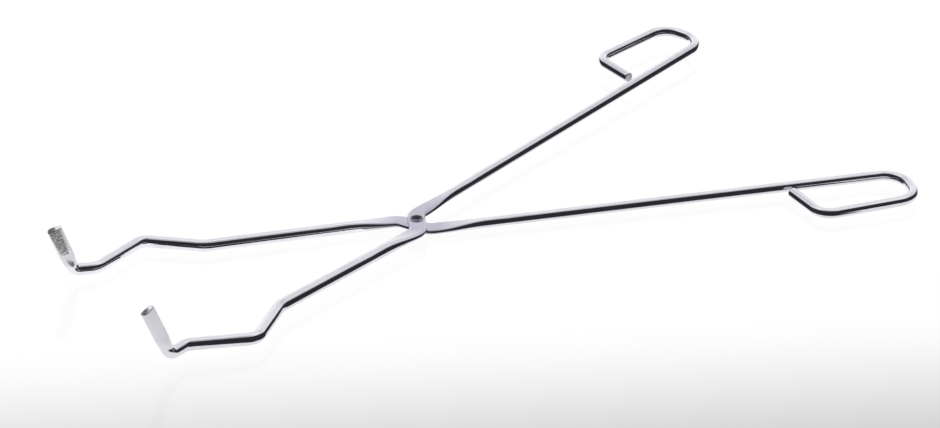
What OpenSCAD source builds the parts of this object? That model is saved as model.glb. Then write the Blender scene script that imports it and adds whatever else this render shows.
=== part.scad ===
// Long bow tongs: two mirror-image bent rods, crossed and riveted.
// Millimetres. +X towards the jaws, +Y towards the upper arm's jaw, +Z up.
// The origin is on the rivet axis, in the plane that the tongs lie on.

/* [Rod] */
// Diameter of the shanks and finger loops
rod_d = 6; // [5.6:0.1:6.4]
// Diameter of the jaws, which are left thicker
jaw_d = 7; // [6.6:0.1:7.4]
// Angle between each arm and the centre line as the tongs lie
half_open = 19; // [14:0.5:25]
// Chamfer at the cut ends of the rods
end_chamfer = 0.5; // [0.2:0.1:0.8]

/* [Handles] */
// Reach of the finger loop's far end, from the rivet axis along the arm
handle_reach = 288; // [240:0.5:320]
// Bend radius of the loop's first turn
loop_r1 = 14.5; // [14:0.5:16]
// Straight across the loop's far end
loop_end = 4; // [3.5:0.5:8]
// Bend radius of the loop's second turn
loop_r2 = 14; // [13.5:0.5:16]
// Angle of the loop's second turn
loop_a2 = 84; // [83:0.5:85]
// Straight along the loop's outer side
loop_side = 39.5; // [36:0.5:46]
// Bend radius of the loop's last turn
loop_r3 = 10; // [8.5:0.5:10.5]
// Angle of the loop's last turn
loop_a3 = 80; // [79:0.5:81]
// Straight end of the rod that closes the loop
loop_return = 23; // [21:0.5:23]
// Rise of the shank away from the rivet, in degrees
handle_rise = 0.35; // [0:0.05:0.5]

/* [Boss] */
// Thickness of the flattened boss
flat_t = 3.2; // [3:0.1:3.4]
// Width of the flattened boss at the rivet
flat_w = 10.4; // [9.8:0.1:11]
// Half length of the boss that is fully flat
flat_half = 11; // [10:0.5:12]
// Distance from the rivet at which the rod is round again
round_at = 40; // [36:1:44]
// Sideways offset of the shank from the rivet axis
shank_offset = 5; // [4.8:0.1:5.6]
// Sideways offset of the jaw rod from the rivet axis
jaw_offset = 8.4; // [8:0.1:8.8]
// Bend radius of the boss's two bends
boss_r = 10; // [9:0.5:10.5]

/* [Jaws] */
// Distance from the rivet axis to the first jaw bend
jaw_reach = 121.5; // [100:0.5:140]
// Inward slant of the jaw rod
jaw_slant = 2.4; // [1.8:0.1:3]
// Rise of the jaw away from the rivet, in degrees
jaw_rise = 0.5; // [0:0.05:0.6]
// Outward bend before the bow
bow_a1 = 24; // [22:0.5:26]
// Radius of that bend
bow_r1 = 17; // [14:1:20]
// Straight up to the widest point of the bow
bow_l1 = 27.5; // [24:0.5:30]
// Inward bend at the widest point of the bow
bow_a2 = 62.5; // [60:0.5:65]
// Radius of that bend
bow_r2 = 8; // [7:0.5:9]
// Straight from the bow to the toe
bow_l2 = 30.5; // [28:0.5:33]
// Bend that turns the toe forward
toe_a = 42; // [40:0.5:45]
// Radius of that bend
toe_r = 7; // [6:0.5:8]
// Straight toe under the nib
toe_l = 6.5; // [5:0.5:8]
// Upward bend of the nib
nib_a = 71.5; // [68:0.5:75]
// Radius of that bend
nib_r = 5; // [5:0.5:6]
// Lean of the nib towards the other jaw
nib_lean = 11; // [8:1:14]
// Straight length of the nib
nib_l = 28.5; // [27:0.5:30]
// Width that the nib is pressed out to
nib_w = 8.2; // [7.8:0.1:8.6]
// Thickness that the nib is pressed down to
nib_t = 5; // [4.8:0.1:5.2]
// Turn of the serrated pad about the nib, so that it faces the other jaw
pad_turn = 186; // [180:1:192]
// Length of the serrated pad from the nib's tip
pad_l = 18; // [14:0.5:20]
// Depth of the pad below the pressed face, at the tip
pad_depth = 0.8; // [0.6:0.1:1]
// Depth of the pad below the pressed face, at its other end
pad_base = 0.2; // [0.1:0.1:0.4]
// Distance from one serration to the next
serration_pitch = 1.4; // [1.2:0.1:1.8]
// Depth of a serration
serration_depth = 0.3; // [0.25:0.05:0.45]

/* [Rivet] */
// Diameter of the rivet's shank
rivet_d = 4.4; // [4:0.1:4.8]
// Diameter of the domed head
head_d = 8; // [7.4:0.1:8.6]
// Height of the domed head
head_h = 1.7; // [1.4:0.1:2]
// Diameter of the flat closing head under the lower arm
closing_d = 7.6; // [7.4:0.1:8]
// Radial clearance of the shank in the lower arm
pivot_clearance = 0.05; // [0.03:0.01:0.08]
// Gap between the two bosses, and under the lower one
boss_gap = 0.1; // [0.05:0.01:0.15]

/* [Hidden] */
$fn = 64;

rod_r = rod_d / 2;
jaw_r = jaw_d / 2;
lower_z = jaw_r;
upper_z = lower_z + flat_t + boss_gap;
loft_sides = 28;
loft_step = 1.6;
loft_inset = 0.03;
rise_from = 20;
press_from = 1.5;
press_to = 9;
lap = 0.4;
bend_swell = 0.06;
diag = 45;

// The boss's centre line is an S: a diagonal through the rivet axis, and a bend at
// each end of it that brings the rod parallel to the arm.
jaw_turn = diag + jaw_slant;
jaw_tan = boss_r * tan(jaw_turn / 2);
jaw_diag = jaw_offset / sin(diag) - jaw_tan;
jaw_arc = boss_r * jaw_turn * PI / 180;
shank_tan = boss_r * tan(diag / 2);
shank_diag = shank_offset / sin(diag) - shank_tan;
shank_arc = boss_r * diag * PI / 180;

function along(a) = [cos(a), sin(a)];
function heading(t) =
    t >= 0 ? (t <= jaw_diag ? diag : diag - min((t - jaw_diag) / jaw_arc, 1) * jaw_turn)
           : (-t <= shank_diag ? diag : diag - min((-t - shank_diag) / shank_arc, 1) * diag);
// Centre of a bend that starts s along the diagonal and turns to the right of its run.
function bend_centre(s, side) = side * (s * along(diag) + boss_r * along(diag - 90));
function spine(t) =
    t >= 0
        ? (t <= jaw_diag ? t * along(diag)
            : t <= jaw_diag + jaw_arc ? bend_centre(jaw_diag, 1) + boss_r * along(heading(t) + 90)
            : bend_centre(jaw_diag, 1) + boss_r * along(90 - jaw_slant) + (t - jaw_diag - jaw_arc) * along(-jaw_slant))
        : (-t <= shank_diag ? t * along(diag)
            : -t <= shank_diag + shank_arc ? bend_centre(shank_diag, -1) - boss_r * along(heading(t) + 90)
            : bend_centre(shank_diag, -1) - boss_r * along(90) - (-t - shank_diag - shank_arc) * along(0));

// Height that the centre line has gained at x along the arm.
function lift(x) = tan(x < 0 ? handle_rise : jaw_rise) * max(abs(x) - rise_from, 0);

// From fully flat (0) to round (1), eased at both ends.
function rounding(t) =
    let (u = min(max((abs(t) - flat_half) / (round_at - flat_half), 0), 1)) u * u * (3 - 2 * u);
function ramp(t, a, b) = a + (b - a) * rounding(t);
// A pressed rod's section: an ellipse cut off flat at the top and bottom.
function section(t) =
    let (r = (t < 0 ? rod_r : jaw_r) - loft_inset, w = ramp(t, flat_w / 2, r), q = ramp(t, flat_t * 0.7, r),
         h = ramp(t, flat_t / 2, r), c = spine(t), n = along(heading(t) + 90))
    [for (i = [0 : loft_sides - 1])
        let (a = 360 * (i + 0.5) / loft_sides, y = w * cos(a), z = min(max(q * sin(a), -h), h))
        [c[0] + y * n[0], c[1] + y * n[1], z + lift(c[0])]];

steps = ceil(2 * round_at / loft_step);
function station(k) = -round_at + 2 * round_at * k / steps;

module boss() {
    n = loft_sides;
    points = [for (k = [0 : steps]) each section(station(k))];
    walls = [for (k = [0 : steps - 1], i = [0 : n - 1])
        let (a = k * n + i, b = k * n + (i + 1) % n)
        each [[a, b + n, b], [a, a + n, b + n]]];
    polyhedron(points, concat([[for (i = [0 : n - 1]) i]], walls, [[for (i = [n - 1 : -1 : 0]) steps * n + i]]));
}

// A straight length of rod, let into the bends at its ends, then whatever follows it.
module straight(d, l) {
    translate([0, 0, -lap]) cylinder(d = d, h = l + 2 * lap);
    translate([0, 0, l]) children();
}

// A bend of the rod, a little swollen by the bending, then whatever follows it.
// At roll 0 it bends towards local +X.
module bend(d, r, a, roll = 0) {
    rotate([0, 0, roll]) {
        translate([r, 0, 0]) rotate([90, 0, 180])
            rotate_extrude(angle = a) translate([r, 0]) circle(d = d + bend_swell);
        translate([r, 0, 0]) rotate([0, a, 0]) translate([-r, 0, 0])
            rotate([0, 0, -roll]) children();
    }
}

// A length of rod with a chamfered cut end.
module cut_end(d, l) {
    intersection() {
        translate([0, 0, -lap]) cylinder(d = d, h = l + lap);
        translate([0, 0, -1]) cylinder(d1 = d - 2 * end_chamfer + 2 * (l + 1), d2 = d - 2 * end_chamfer, h = l + 1);
    }
}

// Depth of the pad at s along the nib: it slopes deeper towards the tip.
function pad_at(s) = pad_base + (pad_depth - pad_base) * (s - nib_l + pad_l) / pad_l;
// Outline, along the nib, of what is pressed away from either face: a slope, then a flat.
function press_start(side) = [[side * (nib_w / 2 + 1), press_from], [side * (jaw_r + 0.1), press_from],
    [side * nib_t / 2, press_to]];
// On the inner face a sloping pad with a row of V grooves is cut below the flat.
function pad_cut(count) = concat(
    press_start(1),
    [[nib_t / 2, nib_l - pad_l], [nib_t / 2 - pad_base, nib_l - pad_l]],
    [for (i = [count - 1 : -1 : 0], k = [-1 : 1])
        let (s = nib_l - 1.4 - i * serration_pitch + k * serration_depth)
        [nib_t / 2 - pad_at(s) - (1 - abs(k)) * serration_depth, s]],
    [[nib_t / 2 - pad_at(nib_l + 1), nib_l + 1], [nib_w / 2 + 1, nib_l + 1]]);
function back_cut() = concat(press_start(-1), [[-nib_t / 2, nib_l + 1], [-nib_w / 2 - 1, nib_l + 1]]);

// The nib: the rod's end, pressed wide and flat, with the serrated pad in its inner face.
module nib() {
    difference() {
        union() {
            translate([0, 0, -lap]) cylinder(d = jaw_d, h = press_from + 2 * lap);
            translate([0, 0, press_from]) cylinder(d1 = jaw_d, d2 = nib_w, h = press_to - press_from);
            translate([0, 0, press_to]) cut_end(nib_w, nib_l - press_to);
        }
        rotate([0, 0, pad_turn]) translate([0, nib_w / 2 + 1, 0]) rotate([90, 0, 0])
            linear_extrude(height = nib_w + 2) polygon(pad_cut(floor((pad_l - 1.5) / serration_pitch)));
        rotate([0, 0, pad_turn]) translate([0, nib_w / 2 + 1, 0]) rotate([90, 0, 0])
            linear_extrude(height = nib_w + 2) polygon(back_cut());
    }
}

// Shank and finger loop, running away from the rivet.
module handle() {
    p = spine(-round_at);
    translate([p[0], p[1], lift(p[0])]) rotate([0, -handle_rise, 180]) rotate([90, 0, 90])
        straight(rod_d, handle_reach - loop_r1 + p[0])
        bend(rod_d, loop_r1, 90) straight(rod_d, loop_end)
        bend(rod_d, loop_r2, loop_a2) straight(rod_d, loop_side)
        bend(rod_d, loop_r3, loop_a3) cut_end(rod_d, loop_return);
}

// Jaw rod, bow, toe and nib.
module jaw() {
    p = spine(round_at);
    run = (jaw_reach - p[0]) / cos(jaw_slant) - bow_r1 * tan(bow_a1 / 2);
    translate([p[0], p[1], lift(p[0])]) rotate([0, -jaw_rise, -jaw_slant]) rotate([90, 0, 90])
        straight(jaw_d, run)
        bend(jaw_d, bow_r1, bow_a1) straight(jaw_d, bow_l1)
        bend(jaw_d, bow_r2, bow_a2, 180) straight(jaw_d, bow_l2)
        bend(jaw_d, toe_r, toe_a) straight(jaw_d, toe_l)
        bend(jaw_d, nib_r, nib_a, 90 + nib_lean) nib();
}

module arm(bore) {
    difference() {
        union() {
            boss();
            handle();
            jaw();
        }
        translate([0, 0, -flat_t]) cylinder(d = bore, h = 2 * flat_t);
    }
}

module upper_arm() {
    color([0.83, 0.83, 0.86])
        translate([0, 0, upper_z]) rotate([0, 0, half_open]) arm(rivet_d);
}

module lower_arm() {
    color([0.80, 0.80, 0.84])
        translate([0, 0, lower_z]) rotate([0, 0, -half_open]) mirror([0, 1, 0])
            arm(rivet_d + 2 * pivot_clearance);
}

// Domed head on the upper boss, shank, and a flat closing head under the lower boss.
module pivot_rivet() {
    top = upper_z + flat_t / 2;
    under = lower_z - flat_t / 2 - boss_gap;
    dome_r = (pow(head_d / 2, 2) + pow(head_h, 2)) / (2 * head_h);
    color([0.45, 0.45, 0.49]) {
        cylinder(d = closing_d, h = under);
        translate([0, 0, under]) cylinder(d = rivet_d, h = top - under);
        intersection() {
            translate([0, 0, top]) cylinder(d = head_d + 1, h = head_h + 1);
            translate([0, 0, top + head_h - dome_r]) sphere(r = dome_r);
        }
    }
}

upper_arm();
lower_arm();
pivot_rivet();
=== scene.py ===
import math

import bmesh
import bpy
import numpy as np
from mathutils import Matrix, Vector


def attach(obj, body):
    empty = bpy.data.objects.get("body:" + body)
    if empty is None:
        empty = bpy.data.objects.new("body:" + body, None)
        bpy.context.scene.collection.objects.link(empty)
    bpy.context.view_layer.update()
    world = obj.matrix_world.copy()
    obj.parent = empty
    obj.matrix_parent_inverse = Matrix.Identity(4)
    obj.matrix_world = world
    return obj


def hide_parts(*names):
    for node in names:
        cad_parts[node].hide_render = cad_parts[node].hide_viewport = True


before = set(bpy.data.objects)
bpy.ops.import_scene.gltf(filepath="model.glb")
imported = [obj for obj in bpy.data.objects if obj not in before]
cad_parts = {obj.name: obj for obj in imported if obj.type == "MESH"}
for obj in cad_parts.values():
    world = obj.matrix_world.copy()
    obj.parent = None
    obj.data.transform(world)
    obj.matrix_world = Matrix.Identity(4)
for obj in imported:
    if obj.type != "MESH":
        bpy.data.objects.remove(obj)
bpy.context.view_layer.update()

MM = 0.001

# ---------------------------------------------------------------- dimensions (mm, degrees)
SHANK_R, JAW_R = 3.0, 3.5
HALF_OPEN = 19.0
HANDLE_REACH = 288.0
LOOP = (("bend", 14.5, 90.0), ("line", 4.0), ("bend", 14.0, 84.0), ("line", 39.5), ("bend", 10.0, 80.0))
LOOP_RETURN = 23.0
HANDLE_RISE, JAW_RISE, RISE_FROM = 0.35, 0.5, 20.0
FLAT_T, FLAT_W, FLAT_HALF, ROUND_AT = 3.2, 10.4, 11.0, 40.0
FLAT_ROUND = 0.7
SHANK_OFFSET, JAW_OFFSET, BOSS_R, DIAG = 5.0, 8.4, 10.0, 45.0
JAW_REACH, JAW_SLANT = 121.5, 2.4
BOW_A1, BOW_R1, BOW_L1 = 24.0, 17.0, 27.5
BOW_A2, BOW_R2, BOW_L2 = 62.5, 8.0, 30.5
TOE_A, TOE_R, TOE_L = 42.0, 7.0, 6.5
NIB_A, NIB_R, NIB_LEAN, NIB_L = 71.5, 5.0, 11.0, 28.5
NIB_W, NIB_T, PRESS_TO = 8.2, 5.0, 9.5
PAD_TURN, PAD_L, PAD_DEPTH, PAD_BASE = 186.0, 18.0, 0.8, 0.2
PITCH, GROOVE = 1.4, 0.30
LOWER_Z, UPPER_Z = 3.5, 6.8
BORE_R = 2.25
SIDES = 64
QUARTER = SIDES // 4


# ---------------------------------------------------------------- centre line of one arm
def along(a):
    return np.array([math.cos(math.radians(a)), math.sin(math.radians(a))])


JAW_TURN = DIAG + JAW_SLANT
JAW_DIAG = JAW_OFFSET / math.sin(math.radians(DIAG)) - BOSS_R * math.tan(math.radians(JAW_TURN / 2))
JAW_ARC = BOSS_R * math.radians(JAW_TURN)
SHANK_DIAG = SHANK_OFFSET / math.sin(math.radians(DIAG)) - BOSS_R * math.tan(math.radians(DIAG / 2))
SHANK_ARC = BOSS_R * math.radians(DIAG)


def heading(t):
    if t >= 0:
        return DIAG - min(max((t - JAW_DIAG) / JAW_ARC, 0), 1) * JAW_TURN
    return DIAG - min(max((-t - SHANK_DIAG) / SHANK_ARC, 0), 1) * DIAG


def bend_centre(s, side):
    return side * (s * along(DIAG) + BOSS_R * along(DIAG - 90))


def spine(t):
    if t >= 0:
        if t <= JAW_DIAG:
            return t * along(DIAG)
        if t <= JAW_DIAG + JAW_ARC:
            return bend_centre(JAW_DIAG, 1) + BOSS_R * along(heading(t) + 90)
        return bend_centre(JAW_DIAG, 1) + BOSS_R * along(90 - JAW_SLANT) + (t - JAW_DIAG - JAW_ARC) * along(-JAW_SLANT)
    if -t <= SHANK_DIAG:
        return t * along(DIAG)
    if -t <= SHANK_DIAG + SHANK_ARC:
        return bend_centre(SHANK_DIAG, -1) - BOSS_R * along(heading(t) + 90)
    return bend_centre(SHANK_DIAG, -1) - BOSS_R * along(90) + (t + SHANK_DIAG + SHANK_ARC) * along(0)


def lift(x):
    return math.tan(math.radians(HANDLE_RISE if x < 0 else JAW_RISE)) * max(abs(x) - RISE_FROM, 0.0)


def turn(axis, deg):
    return np.array(Matrix.Rotation(math.radians(deg), 3, Vector(axis)))


class Rod:
    """A rod that is bent as it goes: each station has a centre, a left axis, an up axis and a kind."""

    def __init__(self, at, head, rise, r):
        self.p, self.r = np.array([at[0], at[1], lift(at[0])]), r
        t, (c, s) = along(head), along(rise)
        self.f = np.column_stack([[-t[1], t[0], 0.0], [-t[0] * s, -t[1] * s, c], [t[0] * c, t[1] * c, s]])
        self.out = []

    def mark(self, kind="rod", **more):
        self.out.append({"c": self.p.copy(), "x": self.f[:, 0].copy(), "y": self.f[:, 1].copy(), "r": self.r, "kind": kind, **more})

    def line(self, length, step=7.0):
        n = max(1, int(math.ceil(length / step)))
        start = self.p.copy()
        for k in range(1, n + 1):
            self.p = start + self.f[:, 2] * length * k / n
            self.mark()

    def bend(self, r, a, roll=0.0, step=2.6):
        n = int(math.ceil(a / step))
        way = math.cos(math.radians(roll)) * self.f[:, 0] + math.sin(math.radians(roll)) * self.f[:, 1]
        axis = np.cross(self.f[:, 2], way)
        centre, f0, arm = self.p + way * r, self.f.copy(), -way * r
        for k in range(1, n + 1):
            m = turn(axis, a * k / n)
            self.p, self.f = centre + m @ arm, m @ f0
            # the section flattens a little in the middle of a cold bend
            e = math.sin(math.pi * k / n) * min(1.0, 9.0 / r)
            self.mark(oval=(roll, 0.025 * e))


def handle_stations():
    rod = Rod(spine(-ROUND_AT), 180.0, HANDLE_RISE, SHANK_R)
    rod.line(HANDLE_REACH - LOOP[0][1] + rod.p[0])
    for step in LOOP:
        if step[0] == "bend":
            rod.bend(step[1], step[2])
        else:
            rod.line(step[1])
    start = rod.p.copy()
    for s, inset in cut_end(LOOP_RETURN, 5.0):
        rod.p = start + rod.f[:, 2] * s
        rod.mark("end", inset=inset)
    out = rod.out[::-1]
    for st in out:  # seen from the other way, left is right
        st["x"] = -st["x"]
        if "oval" in st:
            st["oval"] = (180.0 - st["oval"][0], st["oval"][1])
    return out


def cut_end(length, step):
    """Distances along a cut end, and how far the section is drawn in there: a sawn face with a dressed edge."""
    n = max(1, int(length // step))
    body = [(length * k / n, 0.0) for k in range(1, n)] + [(length - 0.75, 0.0), (length - 0.56, 0.01)]
    edge = [(length - 0.47, 0.05), (length - 0.24, 0.27), (length - 0.08, 0.42), (length - 0.02, 0.50), (length, 0.58)]
    face = [(length, 0.80), (length - 0.01, 1.4), (length - 0.03, 2.2)]
    return body + edge + face


def pad_at(s):
    """Depth of the pad below the pressed face: it slopes deeper towards the tip."""
    return PAD_BASE + (PAD_DEPTH - PAD_BASE) * (s - NIB_L + PAD_L) / PAD_L


def nib_marks():
    """Where the nib's rings are, and how deep the pad is at each: (s, depth below the pressed face, inset)."""
    first = NIB_L - PAD_L
    out = [(first * k / 12, 0.0, 0.0) for k in range(1, 12)]
    for ds, share in ((-0.62, 0.0), (-0.40, 0.03), (-0.24, 0.15), (-0.10, 0.40), (0.04, 0.72), (0.16, 0.92), (0.34, 1.0)):
        out.append((first + ds, pad_at(first + ds) * share, 0.0))
    for i in range(int((PAD_L - 1.5) // PITCH) - 1, -1, -1):
        c = NIB_L - 1.4 - i * PITCH
        for ds, dd in ((-1.12, 0.0), (-1.04, 0.02), (-0.92, 0.08), (-0.14, 0.49), (0.0, 0.54), (0.14, 0.49), (0.92, 0.08), (1.04, 0.02), (1.12, 0.0)):
            out.append((c + ds * GROOVE, pad_at(c + ds * GROOVE) + dd * GROOVE, 0.0))
    out = sorted(out)
    tip = [(s, pad_at(s), i) for s, i in cut_end(NIB_L, NIB_L) if s > out[-1][0] + 0.02 or i > 0.02]
    return out + tip


def jaw_stations():
    rod = Rod(spine(ROUND_AT), -JAW_SLANT, JAW_RISE, JAW_R)
    rod.line((JAW_REACH - rod.p[0]) / math.cos(math.radians(JAW_SLANT)) - BOW_R1 * math.tan(math.radians(BOW_A1 / 2)))
    rod.bend(BOW_R1, BOW_A1)
    rod.line(BOW_L1)
    rod.bend(BOW_R2, BOW_A2, 180.0)
    rod.line(BOW_L2)
    rod.bend(TOE_R, TOE_A)
    rod.line(TOE_L, 2.0)
    rod.bend(NIB_R, NIB_A, 90.0 + NIB_LEAN)
    start = rod.p.copy()
    for s, depth, inset in nib_marks():
        rod.p = start + rod.f[:, 2] * s
        rod.mark("nib", s=s, depth=depth, inset=inset)
    return rod.out


def boss_stations():
    out = []
    ts = list(np.arange(-ROUND_AT, -18.0, 1.0)) + list(np.arange(-18.0, 18.0, 0.5)) + list(np.arange(18.0, ROUND_AT + 0.01, 1.0))
    for t in ts:
        c, n = spine(t), along(heading(t) + 90)
        out.append({"c": np.array([c[0], c[1], lift(c[0])]), "x": np.array([n[0], n[1], 0.0]), "y": np.array([0.0, 0.0, 1.0]), "kind": "boss", "t": float(t)})
    return out


# ---------------------------------------------------------------- sections
def ease(u):
    u = min(max(u, 0.0), 1.0)
    return u * u * (3 - 2 * u)


def quarters(edge):
    """Angles of a ring's points, with `edge` the angle at which the two flats begin."""
    a = []
    for k, (lo, hi) in enumerate(((-edge, edge), (edge, 180 - edge), (180 - edge, 180 + edge), (180 + edge, 360 - edge))):
        a += [lo + (hi - lo) * i / QUARTER for i in range(QUARTER)]
    return np.radians(a)


def soft_min(a, b, k):
    h = np.clip(0.5 + 0.5 * (b - a) / k, 0, 1)
    return b * (1 - h) + a * h - k * h * (1 - h)


def boss_section(t):
    e, r = ease((abs(t) - FLAT_HALF) / (ROUND_AT - FLAT_HALF)), SHANK_R if t < 0 else JAW_R
    w = FLAT_W / 2 + (r - FLAT_W / 2) * e
    q = FLAT_T * FLAT_ROUND + (r - FLAT_T * FLAT_ROUND) * e
    rise = ease((abs(t) - FLAT_HALF - 1.2) / (ROUND_AT - FLAT_HALF - 1.2))     # the flats run on a little, clear of the other arm when wide open
    h = FLAT_T / 2 + (r - FLAT_T / 2) * rise
    edge = min(math.degrees(math.asin(min(h / q, 1.0))), 72.0)
    a = quarters(edge)
    z = q * np.sin(a)
    k = 0.16 * (1 - e) + 1e-4
    z = np.sign(z) * soft_min(np.abs(z), h, k)
    return w * np.cos(a), z


def rod_section(r, edge, oval=None):
    a = quarters(edge)
    x, y = r * np.cos(a), r * np.sin(a)
    if oval and abs(oval[1]) > 1e-6:
        b = math.radians(oval[0])
        u, v = x * math.cos(b) + y * math.sin(b), -x * math.sin(b) + y * math.cos(b)
        u, v = u * (1 - oval[1]), v * (1 + 0.4 * oval[1])
        x, y = u * math.cos(b) - v * math.sin(b), u * math.sin(b) + v * math.cos(b)
    return x, y


PAD_HALF = 12  # points on either side of the pad's middle
MARGIN = 5  # points along the pad's back edge that the plate still covers


def nib_form(s):
    """Half width, half thickness and squareness of the nib, which goes from a round rod to a pressed end."""
    e = ease(s / PRESS_TO)
    return JAW_R + (NIB_W / 2 - JAW_R) * e, JAW_R + (NIB_T / 2 - JAW_R) * e, 2.0 + 0.9 * e


def nib_section(s, depth, inset):
    w, h, p = nib_form(s)
    half = math.degrees(math.acos((1 - max(depth, PAD_BASE) / h) ** (p / 2)))
    first, across = SIDES // 2 - PAD_HALF, 2 * PAD_HALF
    base = np.arange(SIDES) * 360.0 / SIDES - PAD_TURN
    shaped = np.array([-half + 2 * half * (i - first) / across if 0 <= i - first <= across
                       else half + (360 - 2 * half) * ((i - first - across) % SIDES) / (SIDES - across) for i in range(SIDES)])
    shaped = base + (shaped - base + 180.0) % 360.0 - 180.0
    # the ring's points gather at the pad's edges as the pad comes near
    a = np.radians(base + (shaped - base) * ease(s / (NIB_L - PAD_L - 0.7)))
    u = h * np.sign(np.cos(a)) * np.abs(np.cos(a)) ** (2 / p)
    v = w * np.sign(np.sin(a)) * np.abs(np.sin(a)) ** (2 / p)
    if depth > 0:
        u = np.minimum(u, h - depth)
    if inset > 0:
        u, v = u * (h - inset) / h, v * (w - inset) / w
    d = along(PAD_TURN)
    return u * d[0] - v * d[1], u * d[1] + v * d[0]


# ---------------------------------------------------------------- the mesh of one arm
def arm_mesh(name, place, mirrored, bore_z):
    stations = handle_stations() + boss_stations() + jaw_stations()
    kinds = [s["kind"] for s in stations]
    first_boss, last_boss = kinds.index("boss"), len(kinds) - 1 - kinds[::-1].index("boss")
    # rings that share a place are merged
    keep = [0]
    for i in range(1, len(stations)):
        a, b = stations[keep[-1]], stations[i]
        if np.linalg.norm(a["c"] - b["c"]) > 1e-4 or abs(a.get("inset", 0) - b.get("inset", 0)) > 1e-4:
            keep.append(i)
    boss_ends = (stations[first_boss]["c"], stations[last_boss]["c"])
    stations = [stations[i] for i in keep]
    rings, run, u = [], 0.0, []
    for i, st in enumerate(stations):
        if i:
            run += float(np.linalg.norm(st["c"] - stations[i - 1]["c"])) + abs(st.get("inset", 0) - stations[i - 1].get("inset", 0))
        u.append(run)
        if st["kind"] == "boss":
            x, y = boss_section(st["t"])
            x, y = np.roll(x, -QUARTER // 2), np.roll(y, -QUARTER // 2)
        elif st["kind"] == "nib":
            x, y = nib_section(st["s"], st["depth"], st["inset"])
        else:
            gap = min(np.linalg.norm(st["c"] - e) for e in boss_ends)
            x, y = rod_section(st["r"], 45.0 + 27.0 * (1 - ease(gap / 18.0)), st.get("oval"))
            x, y = np.roll(x, -QUARTER // 2), np.roll(y, -QUARTER // 2)
            if st.get("inset"):
                k = (st["r"] - st["inset"]) / st["r"]
                x, y = x * k, y * k
        rings.append(st["c"][None, :] + x[:, None] * st["x"][None, :] + y[:, None] * st["y"][None, :])
    pts = np.concatenate(rings)
    n = len(stations)
    pts = np.vstack([pts, stations[0]["c"], stations[-1]["c"]])
    if mirrored:
        pts = pts * np.array([1.0, -1.0, 1.0])
    faces, mats, uvs = [], [], []
    girth = 2 * math.pi * JAW_R

    def add(face, mat, uv):
        if mirrored:
            face, uv = face[::-1], uv[::-1]
        faces.append(face)
        mats.append(mat)
        uvs.append([(a * MM, b * MM) for a, b in uv])

    shift = SIDES // 2 - PAD_HALF
    for r in range(n - 1):
        s0, s1 = stations[r], stations[r + 1]
        for i in range(SIDES):
            j = (i + 1) % SIDES
            face = [r * SIDES + i, r * SIDES + j, (r + 1) * SIDES + j, (r + 1) * SIDES + i]
            v0, v1 = girth * i / SIDES, girth * (i + 1) / SIDES
            uv = [(u[r], v0), (u[r], v1), (u[r + 1], v1), (u[r + 1], v0)]
            mat = 0
            if s1["kind"] == "nib" and s0["kind"] == "nib" and s0["depth"] > 0.5 * PAD_BASE and s1["inset"] < 0.55 and shift + MARGIN <= i < shift + 2 * PAD_HALF:
                mat = 1
            if min(s0.get("inset", 0), s1.get("inset", 0)) > 0.5:
                mat = 3 if s1["kind"] == "nib" else 2
            add(face, mat, uv)
    for i in range(SIDES):
        j = (i + 1) % SIDES
        add([n * SIDES, j, i], 2, [(0, 0), (0, 1), (1, 1)])
        add([n * SIDES + 1, (n - 1) * SIDES + i, (n - 1) * SIDES + j], 3, [(0, 0), (0, 1), (1, 1)])

    rot = np.array(Matrix.Rotation(math.radians(place[0]), 3, "Z"))
    pts = (pts @ rot.T + np.array([0.0, 0.0, place[1]])) * MM
    me = bpy.data.meshes.new(name)
    me.from_pydata([tuple(p) for p in pts], [], faces)
    layer = me.uv_layers.new(name="along_rod")
    flat = [c for f in uvs for p in f for c in p]
    layer.data.foreach_set("uv", flat)
    me.polygons.foreach_set("material_index", mats)
    me.update()
    ob = bpy.data.objects.new(name, me)
    bpy.context.scene.collection.objects.link(ob)

    # the rivet's hole through the boss
    bm = bmesh.new()
    bmesh.ops.create_cone(bm, cap_ends=True, segments=64, radius1=BORE_R * MM, radius2=BORE_R * MM, depth=9 * MM,
                          matrix=Matrix.Translation((0, 0, bore_z * MM)))
    drill_mesh = bpy.data.meshes.new("drill")
    bm.to_mesh(drill_mesh)
    bm.free()
    drill = bpy.data.objects.new("drill", drill_mesh)
    bpy.context.scene.collection.objects.link(drill)
    cut = ob.modifiers.new("bore", "BOOLEAN")
    cut.object, cut.operation, cut.solver = drill, "DIFFERENCE", "EXACT"
    bpy.context.view_layer.update()
    done = bpy.data.meshes.new_from_object(ob.evaluated_get(bpy.context.evaluated_depsgraph_get()))
    ob.modifiers.clear()
    ob.data = done
    bpy.data.objects.remove(drill)
    bpy.data.meshes.remove(drill_mesh)
    bpy.data.meshes.remove(me)
    done.name = name
    done.shade_smooth()
    done.set_sharp_from_angle(angle=math.radians(38))
    first_nib = [st["kind"] for st in stations].index("nib")
    return ob, (u[first_nib] - stations[first_nib]["s"]) * MM


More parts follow.
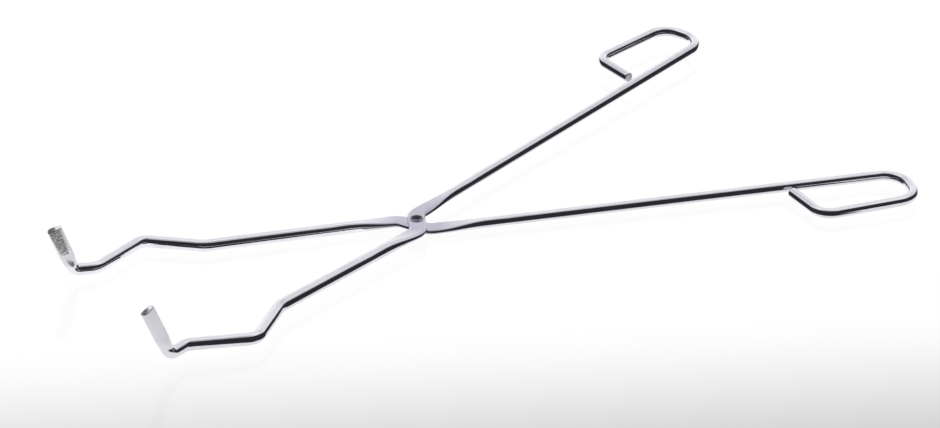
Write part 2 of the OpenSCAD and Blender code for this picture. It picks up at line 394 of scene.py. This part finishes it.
# ---------------------------------------------------------------- the rivet
def rivet_mesh(name):
    top, under = UPPER_Z + FLAT_T / 2, LOWER_Z - FLAT_T / 2 - 0.1
    head_r, head_h, close_r, shank_r = 4.0, 1.7, 3.8, 2.2
    profile = [(0.0, 0.0), (1.2, 0.0), (2.4, 0.01), (3.1, 0.03), (3.45, 0.10), (3.68, 0.28), (3.78, 0.55), (close_r, 0.90), (3.78, 1.30), (3.70, under - 0.04), (3.60, under), (2.8, under),
               (shank_r, under), (shank_r, (under + top) / 2), (shank_r, top), (3.2, top), (3.82, top + 0.01), (3.95, top + 0.07), (head_r, top + 0.20)]
    dome = (head_r ** 2 + (head_h - 0.2) ** 2) / (2 * (head_h - 0.2))
    for k in range(1, 15):
        r = head_r * math.cos(math.radians(90 * k / 15))
        profile.append((r, top + 0.2 + math.sqrt(dome ** 2 - r ** 2) - (dome - (head_h - 0.2))))
    profile.append((0.0, top + head_h))
    seg = 72
    bm = bmesh.new()
    rows = []
    for r, z in profile:
        if r < 1e-6:
            rows.append([bm.verts.new((0, 0, z * MM))])
            continue
        row = []
        for i in range(seg):
            a = 2 * math.pi * i / seg
            # the set head carries the soft facets of the blows that closed it
            dz = 0.0
            if z > top + 0.21 or z < 0.02:
                dz = -0.022 * (1 + math.sin(3 * a + 0.9 * r + (2.0 if z < 1 else 0.0))) * min(1.0, r / 1.5) * (1 - (r / 4.05) ** 4)
                dz = abs(dz) if z < 1 else dz
            row.append(bm.verts.new((r * math.cos(a) * MM, r * math.sin(a) * MM, (z + dz) * MM)))
        rows.append(row)
    for lo, hi in zip(rows, rows[1:]):
        for i in range(seg):
            j = (i + 1) % seg
            if len(lo) == 1:
                bm.faces.new((lo[0], hi[j], hi[i]))
            elif len(hi) == 1:
                bm.faces.new((lo[i], lo[j], hi[0]))
            else:
                bm.faces.new((lo[i], lo[j], hi[j], hi[i]))
    bmesh.ops.recalc_face_normals(bm, faces=bm.faces)
    me = bpy.data.meshes.new(name)
    bm.to_mesh(me)
    bm.free()
    me.shade_smooth()
    me.set_sharp_from_angle(angle=math.radians(40))
    ob = bpy.data.objects.new(name, me)
    bpy.context.scene.collection.objects.link(ob)
    return ob


# ---------------------------------------------------------------- materials
class Tree:
    def __init__(self, name):
        self.mat = bpy.data.materials.new(name)
        self.mat.use_nodes = True
        self.nodes, self.links = self.mat.node_tree.nodes, self.mat.node_tree.links
        self.nodes.clear()
        self.out = self.nodes.new("ShaderNodeOutputMaterial")
        self.bsdf = self.nodes.new("ShaderNodeBsdfPrincipled")
        self.links.new(self.bsdf.outputs[0], self.out.inputs["Surface"])

    def node(self, kind, **props):
        n = self.nodes.new(kind)
        for k, v in props.items():
            setattr(n, k, v)
        return n

    def coords(self, which, scale):
        src = self.node("ShaderNodeUVMap", uv_map="along_rod").outputs[0] if which == "uv" else self.node("ShaderNodeTexCoord").outputs["Object"]
        m = self.node("ShaderNodeMapping")
        m.inputs["Scale"].default_value = scale
        self.links.new(src, m.inputs["Vector"])
        return m.outputs[0]

    def noise(self, vector, scale, detail=3.0, rough=0.55, distortion=0.0):
        n = self.node("ShaderNodeTexNoise")
        n.inputs["Scale"].default_value = scale
        n.inputs["Detail"].default_value = detail
        n.inputs["Roughness"].default_value = rough
        n.inputs["Distortion"].default_value = distortion
        self.links.new(vector, n.inputs["Vector"])
        return n.outputs["Fac"]

    def spread(self, value, a, b, to_a, to_b):
        n = self.node("ShaderNodeMapRange")
        n.inputs["From Min"].default_value, n.inputs["From Max"].default_value = a, b
        n.inputs["To Min"].default_value, n.inputs["To Max"].default_value = to_a, to_b
        self.links.new(value, n.inputs["Value"])
        return n.outputs["Result"]

    def math(self, op, a, b):
        n = self.node("ShaderNodeMath", operation=op)
        for i, v in enumerate((a, b)):
            if isinstance(v, (int, float)):
                n.inputs[i].default_value = v
            else:
                self.links.new(v, n.inputs[i])
        return n.outputs[0]

    def ramp(self, value, stops):
        n = self.node("ShaderNodeValToRGB")
        while len(n.color_ramp.elements) < len(stops):
            n.color_ramp.elements.new(0.5)
        for e, (p, c) in zip(n.color_ramp.elements, stops):
            e.position, e.color = p, (*c, 1.0)
        self.links.new(value, n.inputs["Fac"])
        return n.outputs["Color"]

    def bump(self, height, strength, distance, normal=None):
        n = self.node("ShaderNodeBump")
        n.inputs["Strength"].default_value = strength
        n.inputs["Distance"].default_value = distance
        self.links.new(height, n.inputs["Height"])
        if normal is not None:
            self.links.new(normal, n.inputs["Normal"])
        return n.outputs["Normal"]

    def set(self, **values):
        for k, v in values.items():
            s = self.bsdf.inputs[k.replace("_", " ")]
            if hasattr(v, "node"):
                self.links.new(v, s)
            else:
                s.default_value = v


def plated_rod(nib_at):
    t = Tree("bright_plate")
    uv = t.coords("uv", (1, 1, 1))
    drawn = t.noise(t.coords("uv", (14.0, 900.0, 1.0)), 1.0, 4.0, 0.6)      # lines left by drawing and polishing, along the rod
    cloud = t.noise(t.coords("object", (1, 1, 1)), 46.0, 3.0, 0.5)           # the plate's slight clouding
    haze = t.noise(t.coords("object", (1, 1, 1)), 210.0, 4.0, 0.6)
    specks = t.noise(t.coords("object", (1, 1, 1)), 1500.0, 2.0, 0.5)        # pinholes and dust nibs
    colour = t.ramp(t.math("ADD", t.math("MULTIPLY", cloud, 0.6), t.math("MULTIPLY", haze, 0.4)),
                    [(0.30, (0.70, 0.695, 0.735)), (0.55, (0.79, 0.785, 0.82)), (0.75, (0.84, 0.84, 0.865))])
    # the boss near the pivot is tinted a darker lavender grey than the drawn rod
    far = t.node("ShaderNodeVectorMath", operation="LENGTH")
    t.links.new(t.coords("object", (1, 1, 0)), far.inputs[0])
    pressed = t.spread(t.math("ADD", far.outputs["Value"], t.math("MULTIPLY", cloud, 0.006)), 0.015, 0.034, 1.0, 0.0)
    tint = t.node("ShaderNodeMix", data_type="RGBA", blend_type="MULTIPLY")
    t.links.new(pressed, tint.inputs["Factor"])
    t.links.new(colour, tint.inputs["A"])
    tint.inputs["B"].default_value = (0.690, 0.668, 0.745, 1)
    colour = tint.outputs["Result"]
    # the pressed nib is satin, not bright
    run = t.node("ShaderNodeSeparateXYZ")
    t.links.new(uv, run.inputs[0])
    satin = t.spread(t.math("ADD", run.outputs[0], t.math("MULTIPLY", cloud, 0.004)), nib_at + 0.001, nib_at + 0.010, 0.0, 1.0)
    rough = t.math("ADD", t.spread(haze, 0.3, 0.75, 0.05, 0.12), t.spread(drawn, 0.35, 0.75, 0.0, 0.05))
    rough = t.math("ADD", rough, t.math("MULTIPLY", satin, 0.24))
    metal = t.math("SUBTRACT", 1.0, t.math("MULTIPLY", satin, 0.15))
    n1 = t.bump(drawn, 0.10, 0.00006)
    n2 = t.bump(t.noise(t.coords("object", (1, 1, 1)), 130.0, 2.0, 0.5), 0.22, 0.00025, n1)
    n3 = t.bump(t.spread(specks, 0.70, 0.80, 0.0, 1.0), 0.25, 0.00004, n2)
    t.set(Base_Color=colour, Roughness=rough, Metallic=metal, Normal=n3)
    return t.mat


def serrated_pad():
    t = Tree("serrated_pad")
    grit = t.noise(t.coords("object", (1, 1, 1)), 900.0, 4.0, 0.6)
    wear = t.noise(t.coords("object", (1, 1, 1)), 620.0, 4.0, 0.6)
    colour = t.ramp(wear, [(0.34, (0.30, 0.30, 0.30)), (0.50, (0.50, 0.50, 0.50)), (0.68, (0.80, 0.80, 0.80))])
    rough = t.spread(grit, 0.3, 0.75, 0.55, 0.72)
    t.set(Base_Color=colour, Roughness=rough, Normal=t.bump(grit, 0.5, 0.00010))
    t.set(Metallic=1.0)
    return t.mat


def sawn_end():
    t = Tree("sawn_end")
    lines = t.noise(t.coords("object", (2400.0, 260.0, 260.0)), 1.0, 3.0, 0.6)
    cloud = t.noise(t.coords("object", (1, 1, 1)), 420.0, 3.0, 0.5)
    colour = t.ramp(cloud, [(0.34, (0.76, 0.76, 0.77)), (0.50, (0.88, 0.88, 0.89)), (0.66, (0.96, 0.96, 0.97))])
    rough = t.spread(lines, 0.3, 0.75, 0.42, 0.58)
    t.set(Base_Color=colour, Roughness=rough, Normal=t.bump(lines, 0.25, 0.00006))
    t.set(Metallic=0.2)
    return t.mat


def sheared_end():
    t = Tree("sheared_end")
    place = t.node("ShaderNodeSeparateXYZ")
    t.links.new(t.coords("object", (1, 1, 1)), place.inputs[0])
    cloud = t.noise(t.coords("object", (1, 1, 1)), 520.0, 3.0, 0.55)
    grain = t.noise(t.coords("object", (1, 1, 1)), 1900.0, 3.0, 0.6)
    # the end face is darker towards +X and lighter towards -X
    darker_to_x = t.spread(t.math("ADD", place.outputs[0], t.math("MULTIPLY", cloud, 0.0042)), 0.2004, 0.2024, 0.0, 1.0)
    shade = t.math("ADD", t.math("MULTIPLY", darker_to_x, 0.75), t.math("MULTIPLY", grain, 0.25))
    colour = t.ramp(shade, [(0.10, (0.90, 0.90, 0.91)), (0.35, (0.62, 0.62, 0.63)), (0.70, (0.30, 0.30, 0.30)), (0.95, (0.15, 0.15, 0.15))])
    rough = t.spread(shade, 0.1, 0.9, 0.26, 0.55)
    t.set(Base_Color=colour, Roughness=rough, Normal=t.bump(grain, 0.35, 0.00008))
    t.set(Metallic=1.0)
    return t.mat


def rivet_metal():
    t = Tree("rivet_steel")
    dull = t.noise(t.coords("object", (1, 1, 1)), 520.0, 4.0, 0.6)
    fine = t.noise(t.coords("object", (1, 1, 1)), 1600.0, 3.0, 0.6)
    colour = t.ramp(dull, [(0.30, (0.018, 0.015, 0.022)), (0.55, (0.036, 0.032, 0.044)), (0.78, (0.11, 0.10, 0.13))])
    # the head is near black, with lighter lavender patches towards its edge
    far = t.node("ShaderNodeVectorMath", operation="LENGTH")
    t.links.new(t.coords("object", (1, 1, 0)), far.inputs[0])
    patch = t.noise(t.coords("object", (1, 1, 1)), 330.0, 3.0, 0.55)
    rim = t.spread(t.math("ADD", far.outputs["Value"], t.math("MULTIPLY", patch, 0.0030)), 0.0041, 0.0053, 0.0, 1.0)
    mix = t.node("ShaderNodeMix", data_type="RGBA")
    t.links.new(rim, mix.inputs["Factor"])
    t.links.new(colour, mix.inputs["A"])
    mix.inputs["B"].default_value = (0.36, 0.34, 0.42, 1)
    rough = t.spread(fine, 0.3, 0.75, 0.26, 0.46)
    t.set(Base_Color=mix.outputs["Result"], Roughness=rough, Normal=t.bump(dull, 0.35, 0.00014))
    t.set(Metallic=1.0)
    return t.mat


# ---------------------------------------------------------------- pieces
upper, nib_at = arm_mesh("upper_arm_rod", (HALF_OPEN, UPPER_Z), False, UPPER_Z)
lower, nib_at = arm_mesh("lower_arm_rod", (-HALF_OPEN, LOWER_Z), True, LOWER_Z)
plate, pad, sawn, sheared, rivet_mat = plated_rod(nib_at), serrated_pad(), sawn_end(), sheared_end(), rivet_metal()
for ob, node, body in ((upper, "upper_arm", "upper_arm"), (lower, "lower_arm", "lower_arm")):
    for m in (plate, pad, sawn, sheared):
        ob.data.materials.append(m)
    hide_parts(node)
    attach(ob, body)

rivet = rivet_mesh("pivot_rivet_head")
rivet.data.materials.append(rivet_mat)
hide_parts("pivot_rivet")
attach(rivet, "upper_arm")

# ---------------------------------------------------------------- camera (image taken as 940 x 428)
FOCAL_PX, ELEV, AZIM, ROLL = 3553.3, 29.063, 58.628, 0.083
PIVOT_PX, PIVOT = (416.640, 223.241), np.array([0.0, 0.0, 0.00515])
DIST = FOCAL_PX * 0.5675 * MM
e, az = math.radians(ELEV), math.radians(AZIM)
back = np.array([math.cos(az) * math.cos(e), math.sin(az) * math.cos(e), math.sin(e)])
right0 = np.cross(-back, [0, 0, 1.0])
right0 /= np.linalg.norm(right0)
up0 = np.cross(right0, -back)
fwd = -back - right0 * (PIVOT_PX[0] - 470) / FOCAL_PX + up0 * (PIVOT_PX[1] - 214) / FOCAL_PX
fwd /= np.linalg.norm(fwd)
right = np.cross(fwd, [0, 0, 1.0])
right /= np.linalg.norm(right)
up = np.cross(right, fwd)
c, s = math.cos(math.radians(ROLL)), math.sin(math.radians(ROLL))
right, up = right * c + up * s, up * c - right * s
cam_data = bpy.data.cameras.new("camera")
cam_data.sensor_fit, cam_data.sensor_width = "HORIZONTAL", 36.0
cam_data.lens = FOCAL_PX / 940 * 36.0
cam_data.clip_start, cam_data.clip_end = 0.05, 50.0
cam = bpy.data.objects.new("camera", cam_data)
bpy.context.scene.collection.objects.link(cam)
cam.matrix_world = Matrix(np.vstack([np.column_stack([right, up, -fwd, PIVOT + back * DIST]), [0, 0, 0, 1]]).tolist())
bpy.context.scene.camera = cam

# ---------------------------------------------------------------- floor
HX, HY = math.cos(az), math.sin(az)          # level direction from the object to the front
bm = bmesh.new()
bmesh.ops.create_grid(bm, x_segments=2, y_segments=2, size=3.0)
floor_mesh = bpy.data.meshes.new("floor")
bm.to_mesh(floor_mesh)
bm.free()
floor = bpy.data.objects.new("floor", floor_mesh)
bpy.context.scene.collection.objects.link(floor)
floor.location = (0, 0, -0.0002)
floor.visible_glossy = False

fm = bpy.data.materials.new("floor_white")
fm.use_nodes = True
nt = fm.node_tree
nt.nodes.clear()
out = nt.nodes.new("ShaderNodeOutputMaterial")
bsdf = nt.nodes.new("ShaderNodeBsdfPrincipled")
bsdf.inputs["Base Color"].default_value = (0.08, 0.08, 0.08, 1)
bsdf.inputs["Roughness"].default_value = 0.12
bsdf.inputs["Specular IOR Level"].default_value = 0.12
pos = nt.nodes.new("ShaderNodeTexCoord")
dot = nt.nodes.new("ShaderNodeVectorMath")
dot.operation = "DOT_PRODUCT"
dot.inputs[1].default_value = (HX - 0.075 * HY, HY + 0.075 * HX, 0.0)
nt.links.new(pos.outputs["Object"], dot.inputs[0])
# the floor glows rather than being lit, and the glow is painted darker towards the front: painted shade
floor_painted_falloff = nt.nodes.new("ShaderNodeMapRange")
floor_painted_falloff.interpolation_type = "SMOOTHSTEP"
floor_painted_falloff.inputs["From Min"].default_value, floor_painted_falloff.inputs["From Max"].default_value = 0.105, 0.29
floor_painted_falloff.inputs["To Min"].default_value, floor_painted_falloff.inputs["To Max"].default_value = 0.932, 0.49
nt.links.new(dot.outputs["Value"], floor_painted_falloff.inputs["Value"])
bsdf.inputs["Emission Color"].default_value = (1.0, 1.0, 1.0, 1)
nt.links.new(floor_painted_falloff.outputs["Result"], bsdf.inputs["Emission Strength"])
nt.links.new(bsdf.outputs[0], out.inputs["Surface"])
floor_mesh.materials.append(fm)

# ---------------------------------------------------------------- pale cards beside the jaws, seen only as reflections in the plate
def card_white(name, low, high):
    mat = bpy.data.materials.new(name)
    mat.use_nodes = True
    ct = mat.node_tree
    ct.nodes.clear()
    out, em, noise, span = (ct.nodes.new("ShaderNode" + k) for k in ("OutputMaterial", "Emission", "TexNoise", "MapRange"))
    noise.inputs["Scale"].default_value = 9.0
    span.inputs["To Min"].default_value, span.inputs["To Max"].default_value = low, high
    em.inputs["Color"].default_value = (1.0, 1.0, 1.02, 1)
    side, top, clear = (ct.nodes.new("ShaderNode" + k) for k in ("NewGeometry", "MixShader", "BsdfTransparent"))     # lit on top, clear from underneath
    ct.links.new(noise.outputs["Fac"], span.inputs["Value"])
    ct.links.new(span.outputs["Result"], em.inputs["Strength"])
    ct.links.new(side.outputs["Backfacing"], top.inputs[0])
    ct.links.new(em.outputs[0], top.inputs[1])
    ct.links.new(clear.outputs[0], top.inputs[2])
    ct.links.new(top.outputs[0], out.inputs["Surface"])
    return mat


card_mat, card_bright = card_white("card_white", 0.86, 0.97), card_white("card_bright", 1.00, 1.12)
CARDS = {
    "card_near": (-0.4, [(25, 8), (60, 20), (115, 36), (150, 40), (235, 30), (235, 72), (200, 86), (165, 80), (135, 80), (120, 59), (106, 51), (95, 49.5), (0, 27)]),
    "card_far": (-0.4, [(25, -14), (120, -47), (150, -75), (235, -75), (235, -42), (200, -42), (186, -40), (170, -35), (158, -39), (150, -51), (141, -45.5), (133, -44), (125, -37), (30, -5)]),
    "card_near_loop": (-0.4, [(-276, 121), (-236, 108), (-214, 150), (-262, 160)]),
    "card_far_nib": (9.3, [(90, -100), (235, -100), (235, -8), (192, -8), (192, -46), (196, -47), (196, -53), (186, -53), (186, -47), (191.5, -46), (191.5, -8), (90, -8)]),
}
# a shallow dish below the near nib
DISH = [(190, 55, 12.6), (100, 5, 14.0), (235, 5, 12.6), (235, 130, 22.0), (60, 150, 30.0), (35, 70, 27.0)]


def add_card(name, points, faces, mat):
    me = bpy.data.meshes.new(name)
    me.from_pydata([tuple(v * MM for v in p) for p in points], [], faces)
    card = bpy.data.objects.new(name, me)
    bpy.context.scene.collection.objects.link(card)
    me.materials.append(mat)
    card.visible_camera = card.visible_diffuse = card.visible_shadow = card.visible_transmission = False


for name, (level, corners) in CARDS.items():
    add_card(name, [(x, y, level) for x, y in corners], [list(range(len(corners)))], card_bright if name == "card_far" else card_mat)
add_card("card_near_nib", DISH, [(0, k, k % (len(DISH) - 1) + 1) for k in range(1, len(DISH))], card_mat)

# ---------------------------------------------------------------- studio light: pale all round, a dark room in front
world = bpy.data.worlds.new("studio")
bpy.context.scene.world = world
world.use_nodes = True
wt = world.node_tree
wt.nodes.clear()
w_out = wt.nodes.new("ShaderNodeOutputWorld")
w_bg = wt.nodes.new("ShaderNodeBackground")
wt.links.new(w_bg.outputs[0], w_out.inputs["Surface"])
coord = wt.nodes.new("ShaderNodeTexCoord")
split = wt.nodes.new("ShaderNodeSeparateXYZ")
wt.links.new(coord.outputs["Generated"], split.inputs[0])
front = wt.nodes.new("ShaderNodeVectorMath")
front.operation = "DOT_PRODUCT"
front.inputs[1].default_value = (HX, HY, 0.0)
wt.links.new(coord.outputs["Generated"], front.inputs[0])


def w_range(value, a, b, to_a, to_b):
    n = wt.nodes.new("ShaderNodeMapRange")
    n.interpolation_type = "SMOOTHSTEP"
    n.inputs["From Min"].default_value, n.inputs["From Max"].default_value = a, b
    n.inputs["To Min"].default_value, n.inputs["To Max"].default_value = to_a, to_b
    wt.links.new(value, n.inputs["Value"])
    return n.outputs["Result"]


def w_mul(a, b):
    n = wt.nodes.new("ShaderNodeMath")
    n.operation = "MULTIPLY"
    wt.links.new(a, n.inputs[0])
    wt.links.new(b, n.inputs[1])
    return n.outputs[0]


def w_math(op, *values):
    n = wt.nodes.new("ShaderNodeMath")
    n.operation = op
    for i, v in enumerate(values):
        if isinstance(v, (int, float)):
            n.inputs[i].default_value = v
        else:
            wt.links.new(v, n.inputs[i])
    return n.outputs[0]


# a large soft light above and behind: a cone of directions about 56 degrees wide each way
tent = w_range(w_math("SUBTRACT", split.outputs["Z"], w_math("MULTIPLY", front.outputs["Value"], 0.735)), 0.58, 0.82, 1.0, 0.0)
# the white table below, which reaches up to the horizon at the back
rise = w_range(front.outputs["Value"], -0.78, -0.42, 0.55, 0.0)
table = w_range(w_math("SUBTRACT", split.outputs["Z"], rise), -0.80, -0.48, 0.0, 1.0)
# a white wall straight behind
wall = w_range(front.outputs["Value"], -0.92, -0.76, 0.0, 1.0)
dark = w_mul(w_mul(tent, table), wall)
ramp = wt.nodes.new("ShaderNodeValToRGB")
height = w_range(split.outputs["Z"], -1.0, 1.0, 0.0, 1.0)
wt.nodes[-1].interpolation_type = "LINEAR"
stops = [(0.0, (0.95, 0.95, 0.97)), (0.60, (0.98, 0.98, 1.0)), (0.66, (0.96, 0.96, 0.98)), (0.73, (0.91, 0.905, 0.935)), (0.79, (0.84, 0.835, 0.87)),
         (0.83, (0.765, 0.755, 0.805)), (0.85, (0.785, 0.775, 0.82)), (0.87, (0.90, 0.895, 0.925)), (0.90, (0.97, 0.97, 0.99)), (0.97, (1.05, 1.05, 1.07))]
while len(ramp.color_ramp.elements) < len(stops):
    ramp.color_ramp.elements.new(0.5)
for el, (p, col) in zip(ramp.color_ramp.elements, stops):
    el.position, el.color = p, (*col, 1.0)
wt.links.new(height, ramp.inputs["Fac"])
mix = wt.nodes.new("ShaderNodeMix")
mix.data_type = "RGBA"
wt.links.new(dark, mix.inputs["Factor"])
wt.links.new(ramp.outputs["Color"], mix.inputs["A"])
mix.inputs["B"].default_value = (0.030, 0.028, 0.036, 1)
wt.links.new(mix.outputs["Result"], w_bg.inputs["Color"])
overhead = w_mul(w_range(split.outputs["Z"], 0.88, 0.97, 0.0, 0.45), w_range(front.outputs["Value"], -0.28, 0.08, 0.0, 1.0))
strength = w_mul(w_range(front.outputs["Value"], -0.97, -0.55, 1.13, 1.0), w_math("SUBTRACT", 1.0, overhead))
wt.links.new(strength, w_bg.inputs["Strength"])

scene = bpy.context.scene
scene.view_settings.view_transform = "Standard"
scene.view_settings.look = "None"
